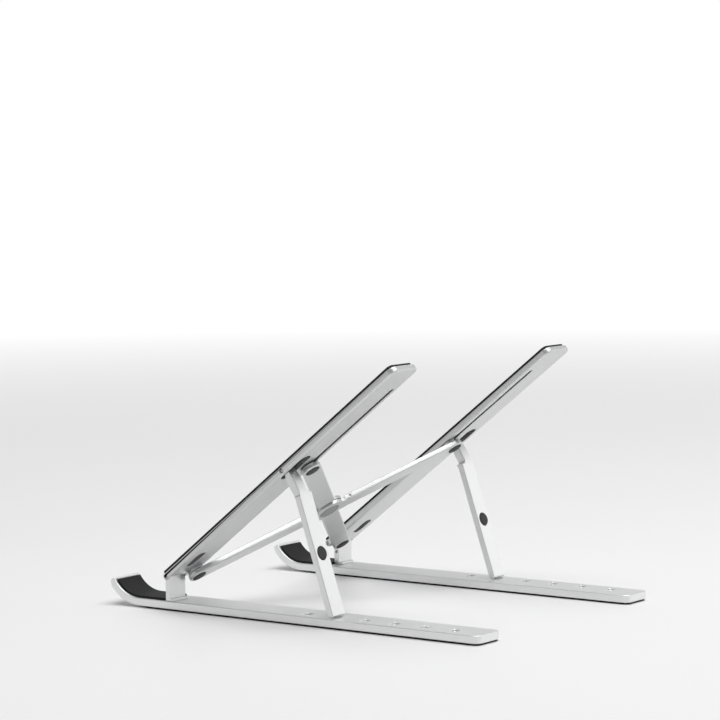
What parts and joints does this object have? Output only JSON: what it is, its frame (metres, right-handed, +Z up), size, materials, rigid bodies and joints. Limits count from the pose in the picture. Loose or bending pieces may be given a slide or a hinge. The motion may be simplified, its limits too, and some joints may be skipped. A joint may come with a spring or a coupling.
{
  "type": "laptop stand",
  "caption": "Folding aluminium laptop stand: flat base rails with upturned lips, sloping padded arms on prop legs, joined by a scissor brace.",
  "frame": {"origin": "on the table, under the middle of the stand's bounding box at rest", "axes": "+X to the user's right, +Y to the rear where the arms rise, +Z up"},
  "size_m": [0.171, 0.244, 0.1394],
  "materials": {
    "satin_aluminium": "fine bead-blasted and anodised, natural silver",
    "bright_aluminium": "fine satin, a little brighter than the arms",
    "steel_hardware": "turned steel",
    "rivet_grey": "matt grey rivet cap",
    "black_silicone": "matt moulded silicone"
  },
  "bodies": {
    "right_base_body": {"right_base_rail": "satin_aluminium", "right_rail_sole": "black_silicone", "right_lip_pad": "black_silicone", "right_hinge_post": "bright_aluminium", "right_post_screw_1": "steel_hardware", "right_post_screw_2": "steel_hardware", "right_post_grub_screw_1": "steel_hardware", "right_post_grub_screw_2": "steel_hardware"},
    "right_arm_body": {"right_arm": "satin_aluminium", "right_arm_pad": "black_silicone", "right_hinge_pin": "steel_hardware", "right_brace_pivot_pin": "steel_hardware", "right_leg_pin": "steel_hardware"},
    "upper_bar_body": {"upper_brace_bar": "satin_aluminium", "upper_bar_front_cap": "black_silicone", "upper_bar_rear_cap": "black_silicone", "centre_rivet": "steel_hardware", "right_slide_shoe": "steel_hardware"},
    "lower_bar_body": {"lower_brace_bar": "satin_aluminium", "lower_bar_stop_pin": "steel_hardware", "lower_bar_front_cap": "black_silicone", "lower_bar_rear_cap": "black_silicone", "centre_rivet_cap": "rivet_grey", "left_slide_shoe": "steel_hardware", "right_brace_spacer": "steel_hardware", "left_brace_spacer": "steel_hardware"},
    "left_arm_body": {"left_arm": "satin_aluminium", "left_arm_pad": "black_silicone", "left_hinge_pin": "steel_hardware", "left_brace_pivot_pin": "steel_hardware", "left_leg_pin": "steel_hardware"},
    "left_base_body": {"left_base_rail": "satin_aluminium", "left_rail_sole": "black_silicone", "left_lip_pad": "black_silicone", "left_hinge_post": "bright_aluminium", "left_post_screw_1": "steel_hardware", "left_post_screw_2": "steel_hardware", "left_post_grub_screw_1": "steel_hardware", "left_post_grub_screw_2": "steel_hardware"},
    "right_leg_body": {"right_leg": "bright_aluminium", "right_leg_button": "black_silicone"},
    "left_leg_body": {"left_leg": "bright_aluminium", "left_leg_button": "black_silicone"}
  },
  "joints": [
    {"name": "arm_pitch", "type": "hinge", "parent": "right_base_body", "child": "right_arm_body", "pos_m": [0.074, -0.0806, 0.0188], "axis": [1, 0, 0], "range_deg": [-20, 3]},
    {"name": "brace_fold", "type": "hinge", "parent": "right_arm_body", "child": "lower_bar_body", "pos_m": [0.0668, -0.07619, 0.02225], "axis": [0, 0.6157, -0.788], "range_deg": [0, 22]},
    {"name": "brace_lap", "type": "hinge", "parent": "lower_bar_body", "child": "upper_bar_body", "pos_m": [0, -0.03671, 0.05309], "axis": [0, 0.6157, -0.788], "range_deg": [-44, 0]},
    {"name": "left_brace_pivot", "type": "hinge", "parent": "upper_bar_body", "child": "left_arm_body", "pos_m": [-0.0668, -0.07619, 0.02225], "axis": [0, 0.6157, -0.788], "range_deg": [0, 22]},
    {"name": "left_base_hinge", "type": "hinge", "parent": "left_arm_body", "child": "left_base_body", "pos_m": [-0.074, -0.0806, 0.0188], "axis": [1, 0, 0], "range_deg": [-3, 20]},
    {"name": "right_leg_swing", "type": "hinge", "parent": "right_arm_body", "child": "right_leg_body", "pos_m": [0.077, -0.00068, 0.08137], "axis": [1, 0, 0], "range_deg": [-11.4, 76]},
    {"name": "left_leg_swing", "type": "hinge", "parent": "left_arm_body", "child": "left_leg_body", "pos_m": [-0.077, -0.00068, 0.08137], "axis": [1, 0, 0], "range_deg": [-11.4, 76]}
  ],
  "couplings": [
    {"joint": "brace_lap", "follows": "brace_fold", "ratio": -2},
    {"joint": "left_brace_pivot", "follows": "brace_fold", "ratio": 1},
    {"joint": "left_base_hinge", "follows": "arm_pitch", "ratio": -1},
    {"joint": "right_leg_swing", "follows": "arm_pitch", "ratio": -3.8},
    {"joint": "left_leg_swing", "follows": "arm_pitch", "ratio": -3.8}
  ]
}
